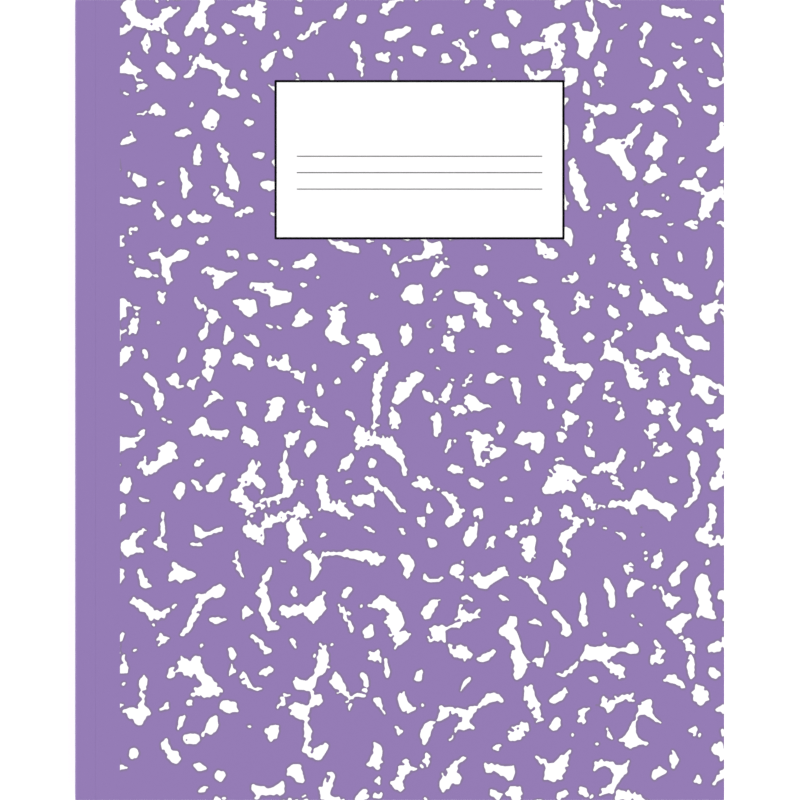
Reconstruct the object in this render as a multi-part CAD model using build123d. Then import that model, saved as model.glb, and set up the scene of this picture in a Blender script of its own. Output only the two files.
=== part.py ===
"""Softcover composition notebook, perfect bound, closed and lying on its back cover. Millimetres.

The leaves are gathered, milled flat along one side and set in hot-melt glue. One card cover is
wrapped round that side and stuck to it, and to a narrow strip of the first and last leaf. Then
head, tail and fore-edge are trimmed in one cut, so card and paper end flush on those three sides.

The card is scored in four places. The two outer scores are the spine's folds. At the two hinge
scores, just past the glued strips, the covers swing open, so the card is modelled as three
solids: the glued channel round the spine, the front cover and the back cover.

+X runs from the spine to the fore-edge, +Y from tail to head, +Z from the back cover to the
front cover. The origin is the middle of the back cover's outer face, in the plane it rests on.
"""

from build123d import *
import os

# Trimmed book
trim_width = 190.5  # outer face of the spine to the fore-edge
trim_height = 234.95  # tail to head

# Paper, card and glue
leaf_count = 50  # 100 numbered sides
leaf_thickness = 0.1144
card_thickness = 0.25
spine_glue_thickness = 0.40
side_glue_thickness = 0.10  # the leaves are nipped this much thinner under the glued strip
side_glue_width = 5.0

# Folds and scores in the card
fold_radius = 0.40  # outside of the two spine folds, and more than the card's thickness
hinge_margin = 0.35  # from the edge of the glued strip to the hinge score
score_depth = 0.06  # depth of the pressed line, and half its width

# Heights, up from the back cover's outer face
block_thickness = leaf_count * leaf_thickness
block_bottom = card_thickness
block_top = block_bottom + block_thickness
book_thickness = block_top + card_thickness

# Places along X
spine_x = -trim_width / 2
fore_edge_x = trim_width / 2
glue_x = spine_x + card_thickness
block_x = glue_x + spine_glue_thickness
side_glue_end_x = block_x + side_glue_width
hinge_x = side_glue_end_x + hinge_margin


def slab(x_low, x_high, z_low, z_high):
    """A flat piece that runs the whole height of the book, between two places along X and Z."""
    size = (x_high - x_low, trim_height, z_high - z_low)
    centre = ((x_low + x_high) / 2, 0, (z_low + z_high) / 2)
    return Pos(*centre) * Box(*size)


def edges_along_y(solid, x, z=None):
    """The solid's edges that run from tail to head at this place along X, and Z if it is given."""
    wanted = []
    for edge in solid.edges().filter_by(Axis.Y):
        middle = edge.center()
        if abs(middle.X - x) < 1e-6 and (z is None or abs(middle.Z - z) < 1e-6):
            wanted.append(edge)
    return wanted


def make_page_block():
    """The leaves as one solid, with a shallow nip along the spine under each strip of side glue."""
    block = slab(block_x, fore_edge_x, block_bottom, block_top)
    front_nip = slab(block_x, side_glue_end_x, block_top - side_glue_thickness, block_top)
    back_nip = slab(block_x, side_glue_end_x, block_bottom, block_bottom + side_glue_thickness)
    return block - front_nip - back_nip


def make_spine_glue():
    """The film between the milled leaves and the card, rounded where the card folds round it."""
    film = slab(glue_x, block_x, block_bottom, block_top)
    return fillet(edges_along_y(film, glue_x), fold_radius - card_thickness)


def make_side_glue(z_low):
    """One strip of glue that fills the nip between a cover and the leaf next to it."""
    return slab(block_x, side_glue_end_x, z_low, z_low + side_glue_thickness)


def make_cover_spine():
    """The glued part of the card: a channel round the spine that ends at the two hinge scores."""
    channel = slab(spine_x, hinge_x, 0, book_thickness)
    channel = fillet(edges_along_y(channel, spine_x), fold_radius)
    inside = slab(glue_x, hinge_x, block_bottom, block_top)
    inside = fillet(edges_along_y(inside, glue_x), fold_radius - card_thickness)
    channel = channel - inside
    scored = edges_along_y(channel, hinge_x, 0) + edges_along_y(channel, hinge_x, book_thickness)
    return chamfer(scored, score_depth)


def make_cover(z_low, outer_z):
    """A cover from its hinge score to the fore-edge. The score takes the outer edge at the hinge."""
    cover = slab(hinge_x, fore_edge_x, z_low, z_low + card_thickness)
    return chamfer(edges_along_y(cover, hinge_x, outer_z), score_depth)


pieces = {
    "page_block": make_page_block(),
    "spine_glue": make_spine_glue(),
    "front_side_glue": make_side_glue(block_top - side_glue_thickness),
    "back_side_glue": make_side_glue(block_bottom),
    "cover_spine": make_cover_spine(),
    "front_cover": make_cover(block_top, book_thickness),
    "back_cover": make_cover(0, 0),
}

os.makedirs("parts", exist_ok=True)
for name, piece in pieces.items():
    export_step(piece, f"parts/{name}.step")
print("book", trim_width, "x", trim_height, "x", round(book_thickness, 3), "hinge x", round(hinge_x, 3))
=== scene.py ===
"""A softcover composition notebook: ruled leaves, the glue that binds them, and one printed card cover.

Metres throughout. +X runs from the spine to the fore-edge, +Y from tail to head, +Z from the back
cover to the front cover, and the notebook lies closed on its back cover.
"""

import math

import bmesh
import bpy
import numpy as np
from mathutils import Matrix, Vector
from mathutils.geometry import delaunay_2d_cdt


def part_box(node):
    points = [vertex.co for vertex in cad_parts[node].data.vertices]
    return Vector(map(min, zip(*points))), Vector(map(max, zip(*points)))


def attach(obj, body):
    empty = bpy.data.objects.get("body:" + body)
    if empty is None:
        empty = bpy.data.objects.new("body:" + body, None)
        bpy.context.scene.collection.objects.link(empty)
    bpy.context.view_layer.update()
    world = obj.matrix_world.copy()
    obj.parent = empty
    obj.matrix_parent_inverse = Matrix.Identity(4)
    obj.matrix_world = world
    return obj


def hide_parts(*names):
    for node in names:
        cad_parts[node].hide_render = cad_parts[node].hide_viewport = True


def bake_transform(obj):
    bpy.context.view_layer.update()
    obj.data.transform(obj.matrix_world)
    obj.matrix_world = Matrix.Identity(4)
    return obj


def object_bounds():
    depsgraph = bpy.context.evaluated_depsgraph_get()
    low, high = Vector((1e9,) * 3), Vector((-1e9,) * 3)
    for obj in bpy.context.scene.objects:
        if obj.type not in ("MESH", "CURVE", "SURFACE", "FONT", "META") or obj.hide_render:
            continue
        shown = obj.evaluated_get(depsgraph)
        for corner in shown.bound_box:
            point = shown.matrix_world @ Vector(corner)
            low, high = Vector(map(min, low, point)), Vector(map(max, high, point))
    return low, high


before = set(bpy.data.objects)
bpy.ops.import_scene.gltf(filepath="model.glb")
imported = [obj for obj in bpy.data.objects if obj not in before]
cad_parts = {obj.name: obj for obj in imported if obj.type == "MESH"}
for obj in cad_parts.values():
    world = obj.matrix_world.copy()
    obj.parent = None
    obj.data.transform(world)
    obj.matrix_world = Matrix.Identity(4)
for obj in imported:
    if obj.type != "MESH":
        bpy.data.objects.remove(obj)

cad_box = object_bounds()
mm = 0.001


# ---------------------------------------------------------------------------------------------
# The leaves. Fifty sheets of white uncoated paper, milled along the spine and trimmed with the
# cover on the other three sides, so that their edges end nearly flush. Both outer sides show the
# ruling, which is printed from edge to edge in pale blue, with a pale red margin line.

fine_detail = 3  # octaves of the fine texture in every finish
broad_detail = 2
broad_size = 25  # of the broad texture, in grains of the fine one
fine_share = 0.6  # how much of the roughness follows the fine texture, and not the broad one
near = 1e-7  # metres: places closer than this are taken as one


class Link:
    """An output socket of a material's nodes. Arithmetic on it adds Math nodes."""

    def __init__(self, tree, socket=None):
        self.tree = tree
        self.socket = socket

    def node(self, kind, inputs, output=0, **settings):
        """A new node: its settings are set first, then the value or the link of each input."""
        made = self.tree.nodes.new("ShaderNode" + kind)
        for name, value in settings.items():
            setattr(made, name, value)
        for name, value in inputs.items():
            self.feed(made.inputs[name], value)
        return Link(self.tree, made.outputs[output])

    def feed(self, socket, value):
        """Gives an input socket a plain value, or a link to what changes over the surface."""
        if isinstance(value, Link):
            self.tree.links.new(value.socket, socket)
        else:
            socket.default_value = value

    def maths(self, operation, first, second):
        return self.node("Math", {0: first, 1: second}, operation=operation)

    def __add__(self, other):
        return self.maths("ADD", self, other)

    def __mul__(self, other):
        return self.maths("MULTIPLY", self, other)

    def __sub__(self, other):
        return self.maths("SUBTRACT", self, other)

    def __rsub__(self, other):
        return self.maths("SUBTRACT", other, self)

    __radd__ = __add__
    __rmul__ = __mul__


def surface(name, colour, roughness, swing, grain, relief, **steady):
    """A material of one colour, whose roughness and relief change over the surface.

    The roughness swings about its middle value, the grain is the size of the texture, and the
    relief is its height. The steady values go straight to the shader's own sockets.
    """
    material = bpy.data.materials.new(name)
    material.use_nodes = True
    shader = material.node_tree.nodes["Principled BSDF"]
    shader.inputs["Base Color"].default_value = (*colour, 1)
    for socket, value in steady.items():
        shader.inputs[socket.replace("_", " ")].default_value = value
    start = Link(material.node_tree)
    place = start.node("TexCoord", {}, output="Object")
    fine = start.node("TexNoise", {"Vector": place, "Scale": 1 / grain, "Detail": fine_detail})
    broad = start.node("TexNoise", {
        "Vector": place, "Scale": 1 / (grain * broad_size), "Detail": broad_detail})
    texture = fine_share * fine + (1 - fine_share) * broad
    start.feed(shader.inputs["Roughness"], roughness + (texture - 0.5) * swing)
    bumps = start.node("Bump", {"Height": fine, "Distance": relief})
    start.feed(shader.inputs["Normal"], bumps)
    return material


def begin(piece):
    """Opens one piece for editing, with nothing else selected."""
    bpy.ops.object.select_all(action="DESELECT")
    piece.select_set(True)
    bpy.context.view_layer.objects.active = piece
    bpy.ops.object.mode_set(mode="EDIT")


def pick(piece, kind, wanted):
    """Selects just the parts of the piece being edited that pass the test: FACE, EDGE or VERT."""
    bpy.ops.mesh.select_mode(type=kind)
    bpy.ops.mesh.select_all(action="DESELECT")
    shape = bmesh.from_edit_mesh(piece.data)
    shape.normal_update()
    for part in {"FACE": shape.faces, "EDGE": shape.edges, "VERT": shape.verts}[kind]:
        part.select_set(bool(wanted(part)))
    bmesh.update_edit_mesh(piece.data)


def cut(along, places):
    """Cuts the whole of the piece being edited across, at each of these places along an axis."""
    for place in places:
        bpy.ops.mesh.select_all(action="SELECT")
        bpy.ops.mesh.bisect(plane_co=Vector(along) * place, plane_no=along, threshold=near / 10)


def end(piece):
    """Turns the faces of the piece being edited outwards, and closes it."""
    bpy.ops.mesh.select_all(action="SELECT")
    bpy.ops.mesh.normals_make_consistent(inside=False)
    bpy.ops.object.mode_set(mode="OBJECT")
    return piece


def finishes(piece, *materials):
    """Gives the piece its materials, of which the first one covers it."""
    piece.data.materials.clear()
    for material in materials:
        piece.data.materials.append(material)


def number_of(piece, material):
    """The number that the piece's faces know this one of its materials by."""
    return piece.data.materials.find(material.name)


def put_on(piece, material):
    """Gives the selected faces of the piece being edited this one of its materials."""
    piece.active_material_index = number_of(piece, material)
    bpy.ops.object.material_slot_assign()


leaf_count = 50
leaf_gap = 0.008 * mm  # air between two leaves
trim_scatter = 0.03 * mm  # how far a leaf may stand back from the trimmed edge
nip_depth = 0.10 * mm  # the outer leaves are pressed in this far under the side glue
nip_slope = 0.10 * mm
line_pitch = 7.14 * mm
line_width = 0.28 * mm
first_line = 30.0 * mm  # below the head
last_line_room = 9.0 * mm  # above the tail
margin_room = 31.75 * mm  # from the left of the page, as it is read
scatter_seed = 7

paper = surface("leaf_paper", (0.66, 0.655, 0.625), 0.86, 0.10, 0.25 * mm, 0.004 * mm,
                Specular_IOR_Level=0.25)
paper_edge = surface("leaf_trimmed_edge", (0.63, 0.62, 0.59), 0.90, 0.08, 0.12 * mm, 0.006 * mm,
                     Specular_IOR_Level=0.2)
rule_ink = surface("rule_ink", (0.15, 0.31, 0.52), 0.80, 0.10, 0.25 * mm, 0.003 * mm,
                   Specular_IOR_Level=0.25)
margin_ink = surface("margin_ink", (0.60, 0.18, 0.22), 0.80, 0.10, 0.25 * mm, 0.003 * mm,
                     Specular_IOR_Level=0.25)

block_low, block_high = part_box("page_block")
side_glue_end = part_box("front_side_glue")[1].x
leaf_pitch = (block_high.z - block_low.z) / leaf_count
leaf_thickness = leaf_pitch - leaf_gap


def make_leaf(number, stand_back):
    """One leaf of the block, counted from the back, a little short of the trim on three sides."""
    fore, tail, head = stand_back
    under = block_low.z + leaf_gap / 2 + number * leaf_pitch
    low = Vector((block_low.x, block_low.y + tail, under))
    high = Vector((block_high.x - fore, block_high.y - head, under + leaf_thickness))
    bpy.ops.object.select_all(action="DESELECT")
    bpy.ops.mesh.primitive_cube_add(size=1, location=(low + high) / 2, scale=high - low)
    bpy.ops.object.transform_apply(location=True, rotation=True, scale=True)
    leaf = bpy.context.object
    finishes(leaf, paper, paper_edge, rule_ink, margin_ink)
    begin(leaf)
    pick(leaf, "FACE", lambda face: abs(face.normal.z) < 0.5)
    put_on(leaf, paper_edge)
    return end(leaf)


def rule_page(leaf, outward, margin_x):
    """Rules the outer side of the first or the last leaf, and presses it in beside the glue."""
    lines = np.arange(block_high.y - first_line, block_low.y + last_line_room, -line_pitch)
    margin = (margin_x - line_width / 2, margin_x + line_width / 2)
    begin(leaf)
    cut((0, 1, 0), [y + side * line_width / 2 for y in lines for side in (-1, 1)])
    cut((1, 0, 0), [*margin, side_glue_end, side_glue_end + nip_slope])

    def on_page(face):
        return face.normal.z * outward > 0.5 and face.calc_center_median().x > side_glue_end + nip_slope

    def on_line(face):
        return on_page(face) and min(abs(lines - face.calc_center_median().y)) < line_width / 2

    def on_margin(face):
        return on_page(face) and margin[0] < face.calc_center_median().x < margin[1]

    for ink, wanted in ((rule_ink, on_line), (margin_ink, on_margin)):
        pick(leaf, "FACE", wanted)
        put_on(leaf, ink)
    outer_z = max(v.co.z * outward for v in bmesh.from_edit_mesh(leaf.data).verts) * outward
    nip_end = side_glue_end + nip_slope / 2
    pick(leaf, "VERT", lambda v: v.co.x < nip_end and abs(v.co.z - outer_z) < leaf_gap / 4)
    bpy.ops.transform.translate(value=(0, 0, -outward * (nip_depth - leaf_gap / 2)))
    return end(leaf)


scatter = np.random.default_rng(scatter_seed)
leaves = [make_leaf(number, scatter.random(3) ** 2 * trim_scatter) for number in range(leaf_count)]
rule_page(leaves[-1], 1, cad_box[0].x + margin_room)
rule_page(leaves[0], -1, cad_box[1].x - margin_room)
bpy.ops.object.select_all(action="DESELECT")
for leaf in leaves:
    leaf.select_set(True)
bpy.context.view_layer.objects.active = leaves[0]
bpy.ops.object.join()
page_block = bpy.context.object
page_block.name = "leaves"
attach(page_block, "book_block")
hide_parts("page_block")


# ---------------------------------------------------------------------------------------------
# The glue. Cloudy cream hot-melt, spread over the milled edge of the leaves and a few millimetres
# up each side. It shows only as a thin line at the head and the tail, where the knife cut it.

hot_melt = surface("hot_melt_glue", (0.72, 0.64, 0.46), 0.42, 0.20, 0.30 * mm, 0.01 * mm)
for node in ("spine_glue", "front_side_glue", "back_side_glue"):
    finishes(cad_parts[node], hot_melt)


# ---------------------------------------------------------------------------------------------
# The spine of the cover. The middle of one sheet of white card, printed plain purple outside under
# a satin film, folded round the glued block and stuck to it. It ends at the two hinge scores.

card_thickness = 0.25 * mm
fold_radius = 0.40 * mm
fold_steps = 8
score_depth = 0.03 * mm

film = {"roughness": 0.30, "swing": 0.08, "grain": 0.9 * mm, "relief": 0.003 * mm,
        "Specular_IOR_Level": 0.4}
purple_print = surface("purple_print", (0.219, 0.1437, 0.346), **film)
card_inside = surface("card_inside", (0.64, 0.64, 0.63), 0.85, 0.12, 0.30 * mm, 0.006 * mm,
                      Specular_IOR_Level=0.25)
card_cut_edge = surface("card_cut_edge", (0.64, 0.63, 0.61), 0.92, 0.08, 0.10 * mm, 0.01 * mm,
                        Specular_IOR_Level=0.2)

spine_low, spine_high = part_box("cover_spine")
hinge_x = spine_high.x


def extrude(move):
    """Draws out what is selected in the piece being edited."""
    bpy.ops.mesh.extrude_region_move(TRANSFORM_OT_translate={"value": move})


def on_score(spot):
    """Whether a spot of the spine lies on the outer line of one of the two hinge scores."""
    from_face = min(abs(spot.z - spine_low.z), abs(spot.z - spine_high.z))
    return spot.x > hinge_x - near and from_face < near


def make_spine():
    """The channel: a strip drawn along the card's outer face from hinge to hinge, then thickened."""
    fold_x = spine_low.x + fold_radius
    top_fold_z = spine_high.z - fold_radius
    low_fold_z = spine_low.z + fold_radius
    flange = hinge_x - fold_x
    bpy.ops.object.select_all(action="DESELECT")
    bpy.ops.mesh.primitive_plane_add(size=1)
    spine = bpy.context.object
    begin(spine)
    bpy.ops.transform.resize(value=(flange, spine_high.y - spine_low.y, 1), center_override=(0, 0, 0))
    bpy.ops.transform.translate(value=(hinge_x - flange / 2, 0, spine_high.z))
    pick(spine, "EDGE", lambda edge: all(v.co.x < fold_x + score_depth for v in edge.verts))
    bpy.ops.mesh.spin(steps=fold_steps, angle=math.pi / 2, axis=(0, 1, 0), center=(fold_x, 0, top_fold_z))
    extrude((0, 0, low_fold_z - top_fold_z))
    bpy.ops.mesh.spin(steps=fold_steps, angle=math.pi / 2, axis=(0, 1, 0), center=(fold_x, 0, low_fold_z))
    extrude((flange, 0, 0))
    end(spine)
    finishes(spine, purple_print, card_inside, card_cut_edge)
    thicken = spine.modifiers.new("Card", "SOLIDIFY")
    thicken.thickness = card_thickness
    thicken.offset = -1
    thicken.use_even_offset = True
    thicken.material_offset = number_of(spine, card_inside)
    thicken.material_offset_rim = number_of(spine, card_cut_edge)
    bpy.ops.object.modifier_apply(modifier=thicken.name)
    begin(spine)
    pick(spine, "EDGE", lambda edge: all(on_score(v.co) for v in edge.verts))
    bpy.ops.mesh.bevel(offset=score_depth, segments=1, material=number_of(spine, purple_print))
    return end(spine)


cover_spine = make_spine()
cover_spine.name = "cover_spine_card"
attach(cover_spine, "book_block")
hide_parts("cover_spine")


# ---------------------------------------------------------------------------------------------
# The front cover. The same card past the hinge score, trimmed flush with the leaves. Its print is
# purple, left out for the label and for the marbling, whose white blotches have a thin dull rim. The
# label's outline and rules are printed over it.

spine_band = 13.2 * mm  # plain purple, from the face of the spine
label_from_spine = 58.52 * mm
label_from_head = 23.57 * mm
label_width = 85.16 * mm
label_height = 46.81 * mm
label_line = 0.70 * mm
label_corner = 0.35 * mm
label_corner_steps = 4
writing_rules = 3
writing_rule_length = 72.0 * mm
writing_rule_width = 0.31 * mm
writing_rule_pitch = 4.82 * mm
first_writing_rule = 22.38 * mm  # below the top of the label

body_wave = 10.7 * mm  # from one blotch to the next
body_spread = 0.80
vein_wave = 16.3 * mm  # the purple veins that part the blotches into strings
vein_spread = 0.47
vein_weight = 2.2
fleck_wave = 1.7 * mm  # the raggedness of their edges
fleck_spread = 0.33
fleck_weight = 0.55
blotch_share = 0.196
blotch_rounding = 0.40 * mm
blotch_level = 0.5
smallest_blotch = 0.50 * mm * mm
smallest_speck = 0.10 * mm * mm  # of purple, in a blotch
rim_rounding = 0.40 * mm
rim_level = 0.06  # of the blotches blurred again: a lower one makes the rim wider, here 0.6 mm
outline_slack = 0.030 * mm
marble_cell = 0.30 * mm
marble_overlap = 3.0 * mm  # the marbling is made this much past the trim, which cuts it off
front_marbling = 104  # the seeds of the two patterns
back_marbling = 107

bend_length = 0.8 * mm  # the width of card that bends as a cover opens
bend_steps = 10
smoothed_below = math.radians(30)  # an edge flatter than this is shaded smooth

rim_print = surface("rim_print", (0.190, 0.140, 0.262), **film)
bare_print = surface("unprinted_under_film", (0.77, 0.765, 0.77), **film)
black_print = surface("black_print", (0.0015, 0.0015, 0.002), **{**film, "Specular_IOR_Level": 0.05})
grey_print = surface("grey_print", (0.07, 0.07, 0.07), **film)

marble_left = cad_box[0].x + spine_band - marble_overlap
marble_right = cad_box[1].x + marble_overlap
marble_low = cad_box[0].y - marble_overlap
marble_high = cad_box[1].y + marble_overlap


def clouds(random, shape, wave, spread):
    """Soft random clouds about one wave apart, of waves that differ by a share, the spread."""
    across = np.hypot(np.fft.fftfreq(shape[0])[:, None], np.fft.rfftfreq(shape[1]))
    middle = marble_cell / wave
    band = np.exp(-0.5 * ((across - middle) / (middle * spread)) ** 2)
    field = np.fft.irfft2(np.fft.rfft2(random.standard_normal(shape)) * band, s=shape)
    return (field - field.mean()) / field.std()


def rounded_off(field, radius):
    """The field blurred by this radius, which rounds the corners of what is cut from it."""
    across = np.hypot(np.fft.fftfreq(field.shape[0])[:, None], np.fft.rfftfreq(field.shape[1]))
    blur = np.exp(-2 * (math.pi * across * radius / marble_cell) ** 2)
    return np.fft.irfft2(np.fft.rfft2(field) * blur, s=field.shape)


def thinned(line):
    """The closed line without the points that lie nearly straight between their neighbours."""
    kept = [line[0]]
    for point, after in zip(line[1:], line[2:] + line[:1]):
        along = (after - kept[-1]).normalized()
        if abs(along.cross(point - kept[-1])) > outline_slack:
            kept.append(point)
    return kept


def level_lines(field, level):
    """The lines round what stands above a level, found by cutting a landscape of the field flat,
    and thinned. They run anticlockwise round each hill, and clockwise round each hollow in one.
    """
    rows, columns = field.shape
    bpy.ops.object.select_all(action="DESELECT")
    bpy.ops.mesh.primitive_grid_add(x_subdivisions=columns - 1, y_subdivisions=rows - 1)
    land = bpy.context.object
    y, x = np.mgrid[0:rows, 0:columns] * marble_cell
    places = np.stack([x + marble_left, y + marble_low, field], axis=-1)
    land.data.vertices.foreach_set("co", places.ravel())
    begin(land)
    bpy.ops.mesh.select_all(action="SELECT")
    bpy.ops.mesh.bisect(plane_co=(0, 0, level), plane_no=(0, 0, 1), threshold=0, clear_inner=True)
    following = {}
    for face in bmesh.from_edit_mesh(land.data).faces:
        for corner in face.loops:
            if corner.edge.is_boundary:
                following[corner.vert] = corner.link_loop_next.vert
    lines = []
    while following:
        first, spot = following.popitem()
        line = [first.co.xy.copy()]
        while spot != first:
            line.append(spot.co.xy.copy())
            spot = following.pop(spot)
        lines.append(thinned(line))
    bpy.ops.object.mode_set(mode="OBJECT")
    bpy.data.objects.remove(land)
    return lines


def area(line):
    """The area inside a closed line, below zero if it runs clockwise."""
    return sum(a.cross(b) for a, b in zip(line, line[1:] + line[:1])) / 2


def veined_clouds(seed):
    """A grid over the cover and past its trim, near 1 in the white blotches and 0 elsewhere."""
    random = np.random.default_rng(seed)
    shape = (round((marble_high - marble_low) / marble_cell),
             round((marble_right - marble_left) / marble_cell))
    field = clouds(random, shape, body_wave, body_spread)
    field -= vein_weight * abs(clouds(random, shape, vein_wave, vein_spread))
    field += fleck_weight * clouds(random, shape, fleck_wave, fleck_spread)
    white = (field > np.quantile(field, 1 - blotch_share)).astype(float)
    white = rounded_off(white, blotch_rounding)
    white[[0, -1]] = 0
    white[:, [0, -1]] = 0
    return white


def wipe(white, line):
    """Clears the cells of the grid that hold a small closed line."""
    cells = (np.array(line) - (marble_left, marble_low)) / marble_cell
    column, row = cells.min(axis=0).astype(int)
    last_column, last_row = cells.max(axis=0).astype(int) + 1
    white[row:last_row + 1, column:last_column + 1] = 0


def marbling(seed):
    """Two layers of print, each with the closed lines round it and its holes: the dull rims, and
    the white blotches that lie on them.
    """
    white = veined_clouds(seed)
    outlines = level_lines(white, blotch_level)
    blotches = [line for line in outlines if not -smallest_speck < area(line) < smallest_blotch]
    white = (white > blotch_level).astype(float)
    for line in outlines:
        if 0 < area(line) < smallest_blotch:
            wipe(white, line)
    outlines = level_lines(rounded_off(white, rim_rounding), rim_level)
    rims = [line for line in outlines if not -smallest_blotch < area(line) < 0]
    return [(rim_print, rims), (bare_print, blotches)]


def rectangle(left, right, low, high, corner=0, steps=0):
    """A closed line round a rectangle, anticlockwise, with each corner rounded in some steps."""
    line = []
    for turn, (x, y) in enumerate(((right - corner, high - corner), (left + corner, high - corner),
                                   (left + corner, low + corner), (right - corner, low + corner))):
        for angle in (turn + np.linspace(0, 1, steps + 1)) * math.pi / 2:
            line.append(Vector((x + corner * math.cos(angle), y + corner * math.sin(angle))))
    return line


def printed_face(layers, z):
    """The outer face of a cover, cut up along its print. Each layer is a finish and its closed
    lines: it lies where an odd number of them hold a spot, and hides the layers before it. The
    first layer is the whole face.
    """
    spots = []
    loops = []
    layer_of = []
    for number, (_, lines) in enumerate(layers):
        for line in lines:
            loops.append(list(range(len(spots), len(spots) + len(line)))[:: 1 if area(line) > 0 else -1])
            layer_of.append(number)
            spots += line
    inside_only = 1
    corners, _, faces, _, _, loops_of = delaunay_2d_cdt(
        spots, [], loops, inside_only, near / 100, True)
    kept = []
    inks = []
    for face, holders in zip(faces, loops_of):
        held = [layer_of[loop] for loop in holders]
        on = [number for number in range(len(layers)) if held.count(number) % 2]
        if 0 in on:
            kept.append(face)
            inks.append(layers[on[-1]][0])
    cover = bpy.data.objects.new("cover", bpy.data.meshes.new("cover"))
    bpy.context.collection.objects.link(cover)
    cover.data.from_pydata([(x, y, z) for x, y in corners], [], kept)
    finishes(cover, purple_print, bare_print, black_print, grey_print, card_inside, card_cut_edge,
             rim_print)
    cover.data.polygons.foreach_set("material_index", [number_of(cover, ink) for ink in inks])
    return cover


def make_cover(outer_z, inward, layers):
    """A cover: its printed face, softened at the cut edges and the score, then given its card."""
    cover = printed_face(layers, outer_z)
    begin(cover)
    bpy.ops.mesh.delete_loose()
    bpy.ops.mesh.select_mode(type="EDGE")
    bpy.ops.mesh.select_all(action="DESELECT")
    bpy.ops.mesh.select_non_manifold(use_wire=False, use_multi_face=False, use_non_contiguous=False,
                                     use_verts=False)
    extrude((0, 0, inward * score_depth))
    inner = Vector((cover_right - hinge_x - 2 * score_depth, cover_high - cover_low - 2 * score_depth))
    bpy.ops.transform.resize(
        value=(1 + 2 * score_depth / inner.x, 1 + 2 * score_depth / inner.y, 1),
        center_override=((hinge_x + cover_right) / 2, (cover_low + cover_high) / 2, 0))
    extrude((0, 0, inward * (card_thickness - score_depth)))
    bpy.ops.mesh.edge_face_add()
    put_on(cover, card_inside)
    pick(cover, "FACE", lambda face: abs(face.normal.z) < 0.1)
    put_on(cover, card_cut_edge)
    cut((1, 0, 0), [hinge_x + bend_length * step / bend_steps for step in range(1, bend_steps + 1)])
    end(cover)
    bpy.ops.object.shade_smooth_by_angle(angle=smoothed_below)
    return cover


cover_low, cover_high = cad_box[0].y, cad_box[1].y
cover_right = cad_box[1].x
band_end = cad_box[0].x + spine_band
face_edge = rectangle(hinge_x + score_depth, cover_right - score_depth,
                      cover_low + score_depth, cover_high - score_depth)
band = rectangle(hinge_x, band_end, cover_low - marble_overlap, cover_high + marble_overlap)
label_left = cad_box[0].x + label_from_spine
label_top = cover_high - label_from_head
label_edge = rectangle(label_left, label_left + label_width, label_top - label_height, label_top,
                       label_corner, label_corner_steps)
label_field = rectangle(label_left + label_line, label_left + label_width - label_line,
                        label_top - label_height + label_line, label_top - label_line)
rules = []
for number in range(writing_rules):
    y = label_top - first_writing_rule - number * writing_rule_pitch
    start = label_left + (label_width - writing_rule_length) / 2
    rules.append(rectangle(start, start + writing_rule_length,
                           y - writing_rule_width / 2, y + writing_rule_width / 2))
label = [(black_print, [label_edge]), (bare_print, [label_field]), (grey_print, rules)]
front_cover = make_cover(cad_box[1].z, -1, [
    (purple_print, [face_edge]), *marbling(front_marbling), (purple_print, [band]), *label])
front_cover.name = "front_cover_card"
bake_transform(front_cover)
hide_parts("front_cover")


# ---------------------------------------------------------------------------------------------
# The back cover. The other end of the same card, with the same print but no label, cut in the
# same three strokes as the leaves. Its face is against the floor.

back_cover = make_cover(cad_box[0].z, 1, [
    (purple_print, [face_edge]), *marbling(back_marbling), (purple_print, [band])])
back_cover.name = "back_cover_card"
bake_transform(back_cover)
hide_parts("back_cover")


# ---------------------------------------------------------------------------------------------
# The floor. A wide sheet of matt white board, glowing a little so that shadows on it stay faint. It
# lies just over a card's thickness below the notebook, which leaves room for the back cover there.

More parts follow.
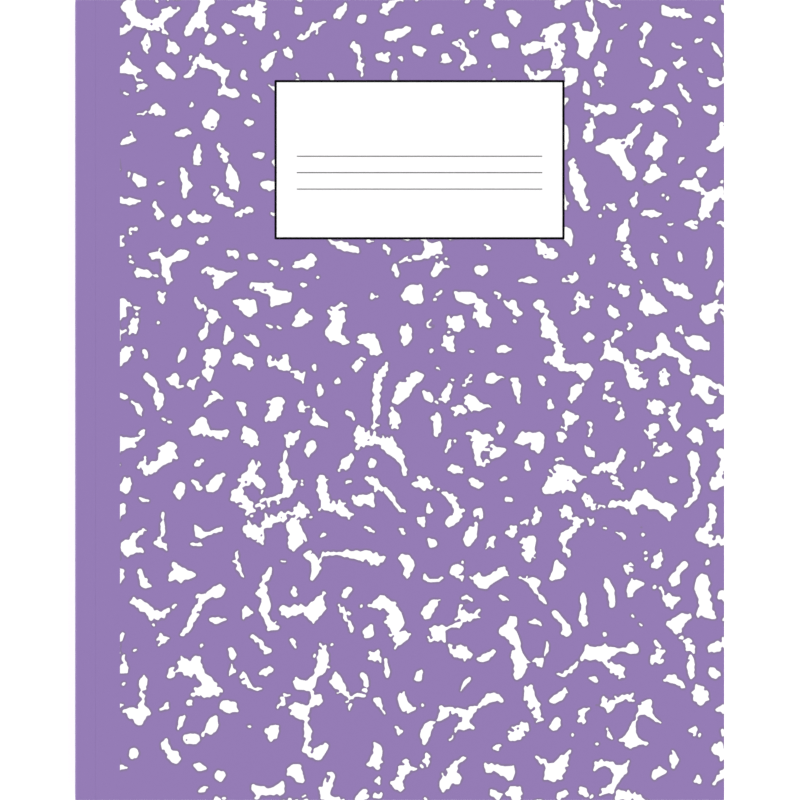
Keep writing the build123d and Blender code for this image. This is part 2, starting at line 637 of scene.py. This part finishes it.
floor_side = 4.0
floor_drop = 0.30 * mm
board = surface("white_board", (0.97, 0.97, 0.97), 0.95, 0.05, 1.5 * mm, 0.01 * mm,
                Specular_IOR_Level=0.1, Emission_Color=(1, 1, 1, 1), Emission_Strength=0.20)
bpy.ops.object.select_all(action="DESELECT")
bpy.ops.mesh.primitive_plane_add(size=floor_side, location=(0, 0, cad_box[0].z - floor_drop))
bpy.ops.object.transform_apply(location=True, rotation=True, scale=True)
floor = bpy.context.object
floor.name = "floor"
finishes(floor, board)


# ---------------------------------------------------------------------------------------------
# The light and the camera. A white room that is darker overhead, so that the satin print isn't
# veiled, and a broad soft lamp at each side. The camera looks straight down from far off, and the
# cover fills the height of the frame.

wall_light = 0.9
ceiling_light = 0.15
walls_end = 0.55  # how steeply upwards, from 0 for level to 1 for overhead
ceiling_starts = 0.9
lamp_light = 1.6
lamp_tilt = math.radians(38)
lamp_width = math.radians(30)
lens = 135
sensor = 36
frame_height = 234.75 * mm
camera_x = 0.12 * mm

room = bpy.data.worlds.new("room")
bpy.context.scene.world = room
room.use_nodes = True
walls = Link(room.node_tree)
upward = walls.node("SeparateXYZ", {"Vector": walls.node("TexCoord", {}, output="Generated")}, output="Z")
brightness = walls.node("MapRange", {
    "Value": upward, "From Min": walls_end, "From Max": ceiling_starts,
    "To Min": wall_light, "To Max": ceiling_light,
}, output="Result", interpolation_type="SMOOTHSTEP")
walls.feed(room.node_tree.nodes["Background"].inputs["Strength"], brightness)
room.node_tree.nodes["Background"].inputs["Color"].default_value = (1, 1, 1, 1)
bpy.context.scene.view_settings.view_transform = "Standard"

for tilt in (-lamp_tilt, lamp_tilt):
    bpy.ops.object.light_add(type="SUN", rotation=(0, tilt, 0))
    bpy.context.object.data.energy = lamp_light
    bpy.context.object.data.angle = lamp_width

bpy.ops.object.camera_add(location=(camera_x, 0, cad_box[1].z + frame_height * lens / sensor))
camera = bpy.context.object
camera.data.lens = lens
camera.data.sensor_width = sensor
camera.data.clip_end = 5 * floor_side
bpy.context.scene.camera = camera
